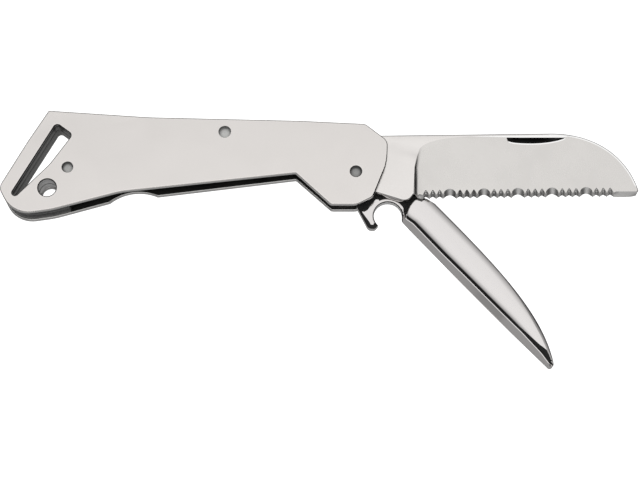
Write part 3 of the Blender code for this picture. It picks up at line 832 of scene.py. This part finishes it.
def blade():
    """The sheepsfoot blade with its real grind, plunge, serrations and nail nick."""
    low_z, high_z = BLADE_LAYER
    edge = edge_lines()
    edge_x, edge_low, edge_high = np.array(edge).T

    # The outline runs counter-clockwise: tang, ricasso, edge, drop and back.
    tang = arc((0.0, 0.0), TANG_R, 73.0, 283.0, 60)
    ricasso = fillet([(4.9, -5.5, 1.0), (14.9, -8.7, 2.7), (16.5, -6.35, 0.3),
                      (20.0, -7.0, 0.0), (2.0, -8.8, 0.0)])[:-2]
    drop = bezier(DROP_START, (66.6, 12.4), (77.6, 7.7), (81.4, -5.0), 60)
    outline = tang + ricasso + [(17.0, -6.45)]
    outline += [(x, low) for x, low, _ in edge]
    outline += drop[::-1] + [(3.0, 11.45)]
    sweep = bezier((18.6, 7.6), (20.2, 9.4), (24.0, 10.7), (33.0, GRIND_TOP), 24)
    plunge_foot = [(PLUNGE_X, -6.2), (PLUNGE_X, -5.7), (16.95, 1.8), (17.7, 5.2)]
    plunge = plunge_foot + sweep + [(62.0, GRIND_TOP)]
    ground_area = plunge + [(90.0, GRIND_TOP), (90.0, -12.0), (PLUNGE_X, -12.0)]
    flat, hollow, tooth, nick, spine, highlight, dull = range(7)

    def ground(x, y):
        """How far each ground face lies below the flats."""
        share = np.clip((GRIND_TOP - y) / (GRIND_TOP - EDGE_Y), 0.0, 1.0)
        points = np.stack([x, y], 1)
        reach = np.clip(distance_to(points, [(plunge, False)]) / PLUNGE_W, 0.0, 1.0)
        reach[~is_inside(points, ground_area)] = 0.0
        return GRIND_DEPTH * share * (1.0 - (1.0 - reach) ** 3.2)

    def top(x, y):
        face = high_z - ground(x, y)
        face_y = np.interp(x, edge_x, edge_high)
        low_y = np.interp(x, edge_x, edge_low)
        share = np.clip((y - low_y) / np.maximum(face_y - low_y, 1e-3), 0.0, 1.0)
        thin = low_z + ground(x, low_y) + EDGE_T
        start = high_z - ground(x, np.maximum(face_y, y))
        cut = (x > EDGE_START) & (y < face_y)
        face = np.where(cut, thin + (start - thin) * share ** 0.9, face)
        low_nick = nick_low(x)
        in_nick = between(x, *NICK) & between(y, low_nick, NICK_TOP)
        reach = np.clip((NICK_TOP - y) / np.maximum(NICK_TOP - low_nick, 1e-3), 0.0, 1.0)
        length = np.clip((NICK_TOP - low_nick) / NICK_DROP, 0.0, 1.0)
        wall = np.clip((NICK_TOP - y) / 0.16, 0.0, 1.0)
        depth = NICK_DEPTH * length * (1.0 - reach) * wall
        return face - np.where(in_nick, depth, 0.0)

    def bottom(x, y):
        return low_z + ground(x, y)

    def rim(points):
        x, y = points[:, 0], points[:, 1]
        cutting = (x > 16.9) & (y < -5.0)
        return np.where(cutting, EDGE_RIM, BLADE_RIM)

    def paint(x, y):
        points = np.stack([x, y], 1)
        cover = np.where(is_inside(points, ground_area), hollow, flat)
        face_y = np.interp(x, edge_x, edge_high)
        front = cover.copy()
        front[(x > EDGE_START) & (y < face_y)] = tooth
        near = distance_to(points, [(outline, True)]) < SPINE_LINE
        front[near & (front != tooth)] = spine
        low_nick = nick_low(x)
        in_span = between(x, NICK[0] - 0.2, NICK[1])
        # Painted highlight lines: under the nick's lower lip, along its top and along the drop.
        front[in_span & between(y, low_nick - NICK_RIM, low_nick)] = highlight
        front[in_span & (y >= NICK_TOP) & ~near] = highlight
        falling = distance_to(points, [(drop, False)])
        on_drop = (x > DROP_START[0]) & (y > -4.0)
        front[on_drop & between(falling, BLADE_RIM, DROP_RIM)] = highlight
        # Painted shade in the nail nick.
        front[between(x, *NICK) & between(y, low_nick, NICK_TOP)] = nick
        rear = cover.copy()
        rear[near & (y > -4.0)] = spine
        walls = np.full(len(x), spine)
        low = y < LOW_WALL_TOP
        walls[(x > EDGE_START) & low] = tooth
        # Painted shade on the heel's lower walls.
        walls[between(x, *HEEL_WALL) & low] = nick
        walls[between(x, *RICASSO_WALL) & low] = dull
        return front, rear, walls

    guides = blade_guides(edge, plunge, drop)
    hole = shank_hole("pivot_rivet")
    steels = [RICASSO, GROUND, BEVEL, NICK_SHADE, SPINE, PAINTED_HIGHLIGHT, DULL_WALL]
    return relief("blade", [outline, hole[::-1]], top, bottom, rim, "blade",
                  steels, paint, guides, wear_reach=0.5, sharp_deg=20.0)


# --------------------------------------------------------------------------------- spike

def spike_guides(stations, bottom_y, crease_y, top_y, hook):
    """Lines on the spike that its triangles follow."""
    guides = [line_of(stations, crease_y)]
    width = np.maximum(top_y - crease_y, 0.3)
    scale = np.minimum(1.0, width / FULL_WIDTH)
    guides += [line_of(stations, crease_y + reach * scale) for reach in CROWN_REACH[1:]]
    guides += [line_of(stations, top_y - reach * scale) for reach in BACK_REACH[1:]]
    guides.append(line_of(stations, crease_y - CREASE_LIP))
    dark_y = crease_y + read(TIP_SHADE, stations)
    back_y = top_y - read(BACK_SHADE, stations)
    deep_y = top_y - read(BACK_SHADE, stations) * DEEP_SHARE
    dark = (stations > TIP_SHADE[0][0]) & (dark_y < back_y)
    guides.append(line_of(stations[dark], dark_y[dark]))
    backed = stations > BACK_SHADE[0][0]
    guides += [line_of(stations[backed], line[backed]) for line in (back_y, deep_y)]
    guides.append(arc(NOTCH, TANG_SHADE_R, 200.0, 20.0, 40))
    guides.append(dense(SHADE_EDGE, 0.2))
    inner = []
    for x, y, nx, ny in with_normals(dense(hook, 0.4))[2:-2]:
        band = read(HOOK_BAND, x)
        inner.append((x - nx * band, y - ny * band))
    gaps = distance_to(np.array(inner), [(hook, False)])
    guides.append([p for p, gap in zip(inner, gaps) if gap > read(HOOK_BAND, p[0]) - 0.08])
    guides.append(line_of(stations, (bottom_y + crease_y) / 2))
    rows = np.linspace(1.4, 9.0, 30)
    for offset in (-1.4, -1.0, -0.6, -0.3, 0.0, 0.05, 0.12, 0.22, SHOULDER_W, 0.7):
        guides.append(line_of(read(CROWN_START, rows) + offset, rows))
    return guides


def marlin_spike():
    """The polished spike: a crowned body with a flat side facet, and its hooked tang."""
    low_z, high_z = SPIKE_LAYER
    tang_top = high_z - TANG_STEP
    # The outline runs counter-clockwise: tang, hook, notch, belly, tip, spine and stop.
    tang = arc((0.0, 0.0), TANG_R, 73.0, 283.0, 60)
    hook = fillet([(2.2, -8.6, 0.0), (4.7, -5.7, 1.2), (13.6, -8.68, 1.5), (15.0, -7.4, 0.9),
                   (14.9, -6.0, 0.0)])[1:]
    notch = arc(NOTCH, NOTCH_R, 267.0, 38.0, 60) + [(18.24, 0.42), (18.48, 0.26), (18.8, 0.13),
                                                   (19.2, 0.06)]
    stations = np.linspace(BODY_START, BODY_END, 48)
    known_x, known_y, known_width = np.array(SPIKE_BELLY).T
    belly_y = np.interp(stations, known_x, known_y)
    facet_y = belly_y + np.interp(stations, known_x, known_width)
    tip = fillet([(68.0, -2.0, 0.0), (78.75, -2.15, 0.8), (78.75, -0.85, 0.4),
                  (70.0, 6.0, 0.0)])[1:-1]
    spine = bezier(TIP_TOP, (66.9, 7.65), (50.0, 9.15), (22.0, 10.2), 60)[1:]
    stop = fillet([(30.0, 10.0, 0.0), (18.6, 9.5, 1.0), (17.0, 8.8, 0.6), (9.0, 9.4, 3.0),
                   (6.6, 10.5, 1.0), (3.0, 10.5, 0.4), (3.0, 8.0, 0.0)])[1:-1]
    belly = line_of(stations, belly_y)
    outline = tang + dense(hook, 0.4) + notch + belly + tip + spine + stop
    spine_x, spine_y = np.array(spine[::-1] + [TIP_TOP]).T
    chrome, shaded, notch_wall, soft_back, deep_back = range(5)

    def lines_at(x):
        """The belly's, the crease's and the back's y at x."""
        bottom_y = np.interp(x, stations, belly_y)
        crease_y = np.interp(x, stations, facet_y)
        top_y = np.interp(x, spine_x, spine_y)
        return bottom_y, crease_y, top_y

    def body_height(x, y):
        """Height of the body's front: the facet up to the crease, and the crown above it."""
        bottom_y, crease_y, top_y = lines_at(x)
        width = np.maximum(top_y - crease_y, 0.3)
        scale = np.minimum(1.0, width / FULL_WIDTH)
        crown = high_z - np.interp((y - crease_y) / scale, CROWN_REACH, CROWN_DROP) * scale
        crown -= np.interp((top_y - y) / scale, BACK_REACH, BACK_DROP) * scale
        crease = high_z - CROWN_DROP[0] * scale
        lip = crease_y - CREASE_LIP
        foot = np.maximum(low_z + 0.05, crease - CREASE_STEP - (lip - bottom_y) * FACET_SLOPE)
        share = (y - bottom_y) / np.maximum(lip - bottom_y, 0.2)
        facet = foot + (crease - CREASE_STEP - foot) * np.clip(share, 0.0, 1.0)
        facet += CREASE_STEP * np.clip((y - lip) / CREASE_LIP, 0.0, 1.0)
        return np.where(y < crease_y, facet, crown)

    def top(x, y):
        shoulder = read(CROWN_START, y)
        share = np.clip((x - shoulder) / SHOULDER_W, 0.0, 1.0)
        share = np.sqrt(1.0 - (1.0 - share) ** 2)
        low = np.clip(1.0 - (shoulder - x) / 1.4, 0.0, 1.0) * np.clip((y - 1.2) / 1.5, 0.0, 1.0)
        low = low * low * (3.0 - 2.0 * low)
        tang_face = tang_top - 0.6 * np.where(x < shoulder + SHOULDER_W, low, 0.0)
        body = body_height(np.maximum(x, BODY_START), y)
        crease_y = lines_at(np.maximum(x, BODY_START))[1]
        blended = tang_face + (body - tang_face) * share
        on_facet = (y < crease_y) & (x > shoulder - 0.5)
        return np.where(on_facet, np.minimum(body, blended), blended)

    def rim(points):
        return np.where(points[:, 0] > TANG_RIM_END, BODY_RIM, TANG_RIM)

    def paint(x, y):
        """Chrome, dark under the blade and in the bands that mirror something dark."""
        front = np.full(len(x), chrome)
        walls = front.copy()
        shoulder = read(CROWN_START, y)
        ring = np.hypot(x - NOTCH[0], y - NOTCH[1])
        on_tang = x < shoulder + 0.08
        edge_x, edge_y = np.array(SHADE_EDGE).T
        front[(x < np.interp(y, edge_y, edge_x)) & (y < 1.0)] = shaded
        front[on_tang & (ring > TANG_SHADE_R) & (y > -0.5)] = shaded
        points = np.stack([x, y], 1)
        gap = distance_to(points, [(outline, True)])
        front[on_tang & (y < 2.6) & (gap < NOTCH_RING)] = shaded
        band = distance_to(points, [(hook, False)]) < read(HOOK_BAND, x)
        front[band & (ring > NOTCH_R + NOTCH_RING)] = shaded
        walls[ring < NOTCH_R + 0.3] = notch_wall
        _, crease_y, top_y = lines_at(np.maximum(x, BODY_START))
        back = read(BACK_SHADE, x)
        inside = (y > crease_y - 0.01) & (top_y - y > back)
        front[(x > TIP_SHADE[0][0]) & inside & (y < crease_y + read(TIP_SHADE, x))] = shaded
        # Painted grey reflection bands along the back.
        front[(x > BACK_SHADE[0][0]) & (top_y - y < back)] = soft_back
        front[(x > BACK_SHADE[0][0]) & (top_y - y < back * DEEP_SHARE)] = deep_back
        return front, np.full(len(x), chrome), walls

    guides = spike_guides(stations, *lines_at(stations), hook)
    hole = shank_hole("pivot_rivet")
    steels = [CHROME, SHADED, HOLE_WALL, BACK_SOFT, BACK_DEEP]
    return relief("marlin_spike", [outline, hole[::-1]], top, constant(low_z), rim, "spike",
                  steels, paint, guides, turn_deg=SPIKE_TURN, sharp_deg=26.0)


# -------------------------------------------------------------------------------- studio

def soft_room():
    """The light: a room whose brightness follows its height, with two soft cards."""
    world = bpy.data.worlds.new("studio_room")
    bpy.context.scene.world = world
    world.use_nodes = True
    nodes, links = world.node_tree.nodes, world.node_tree.links
    background = nodes["Background"]
    direction = nodes.new("ShaderNodeTexCoord")
    split = nodes.new("ShaderNodeSeparateXYZ")
    links.new(direction.outputs["Generated"], split.inputs["Vector"])
    ramp = nodes.new("ShaderNodeValToRGB")
    elements = ramp.color_ramp.elements
    for number, (position, value) in enumerate((ROOM[0], ROOM[-1]) + ROOM[1:-1]):
        element = elements[number] if number < 2 else elements.new(position)
        element.position = position
        element.color = (value, value, value, 1.0)
    links.new(split.outputs["Z"], ramp.inputs["Fac"])

    glow = ramp.outputs["Color"]
    for facing, start, full, amount in CARDS:
        aim = nodes.new("ShaderNodeVectorMath")
        aim.operation = "DOT_PRODUCT"
        aim.inputs[1].default_value = facing
        links.new(direction.outputs["Generated"], aim.inputs[0])
        card = nodes.new("ShaderNodeMapRange")
        card.interpolation_type = "SMOOTHSTEP"
        card.inputs["From Min"].default_value = start
        card.inputs["From Max"].default_value = full
        card.inputs["To Max"].default_value = amount
        links.new(aim.outputs["Value"], card.inputs["Value"])
        lighter = nodes.new("ShaderNodeMix")
        lighter.data_type = "RGBA"
        lighter.blend_type = "LIGHTEN"
        lighter.inputs["Factor"].default_value = 1.0
        links.new(glow, lighter.inputs[MIX_COLOUR_A])
        links.new(card.outputs["Result"], lighter.inputs[MIX_COLOUR_B])
        glow = lighter.outputs[MIX_COLOUR_OUT]
    links.new(glow, background.inputs["Color"])
    background.inputs["Strength"].default_value = 1.0


def plane(name, z, tone, roughness, specular, glow, **visibility):
    """A large square at height z, which is no part of the knife."""
    material = bpy.data.materials.new(name + "_surface")
    material.use_nodes = True
    shader = material.node_tree.nodes["Principled BSDF"]
    shader.inputs["Base Color"].default_value = (tone, tone, tone, 1.0)
    shader.inputs["Roughness"].default_value = roughness
    shader.inputs["Specular IOR Level"].default_value = specular
    shader.inputs["Emission Color"].default_value = (1.0, 1.0, 1.0, 1.0)
    shader.inputs["Emission Strength"].default_value = glow
    mesh = bpy.data.meshes.new(name)
    half = FLOOR_HALF
    mesh.from_pydata([(-half, -half, z), (half, -half, z), (half, half, z),
                      (-half, half, z)], [], [(0, 1, 2, 3)])
    mesh.materials.append(material)
    obj = bpy.data.objects.new(name, mesh)
    bpy.context.scene.collection.objects.link(obj)
    for key, value in visibility.items():
        setattr(obj, key, value)


def studio():
    """A plain pale floor for the camera, a grey table for reflections and a soft room."""
    scene = bpy.context.scene
    scene.view_settings.view_transform = "Standard"
    soft_room()
    plane("floor", FLOOR_Z, 0.9, 0.9, 0.0, 1.0, visible_diffuse=False, visible_glossy=False,
          visible_transmission=False, visible_shadow=False)
    plane("table", TABLE_Z, 0.45, 0.8, 0.5, 0.17, visible_camera=False)

    camera = bpy.data.cameras.new("camera")
    camera.sensor_width = 36.0
    camera.lens = CAMERA_LENS
    camera.clip_start = 0.01
    view = bpy.data.objects.new("camera", camera)
    scene.collection.objects.link(view)
    away = Vector((0.0, -math.sin(CAMERA_TILT), math.cos(CAMERA_TILT)))
    view.location = Vector(CAMERA_AIM) + away * CAMERA_DISTANCE
    view.rotation_euler = (CAMERA_TILT, 0.0, 0.0)
    scene.camera = view


plates()
springs()
for rivet_name in SHANKS:
    rivet(rivet_name)
blade()
marlin_spike()
studio()
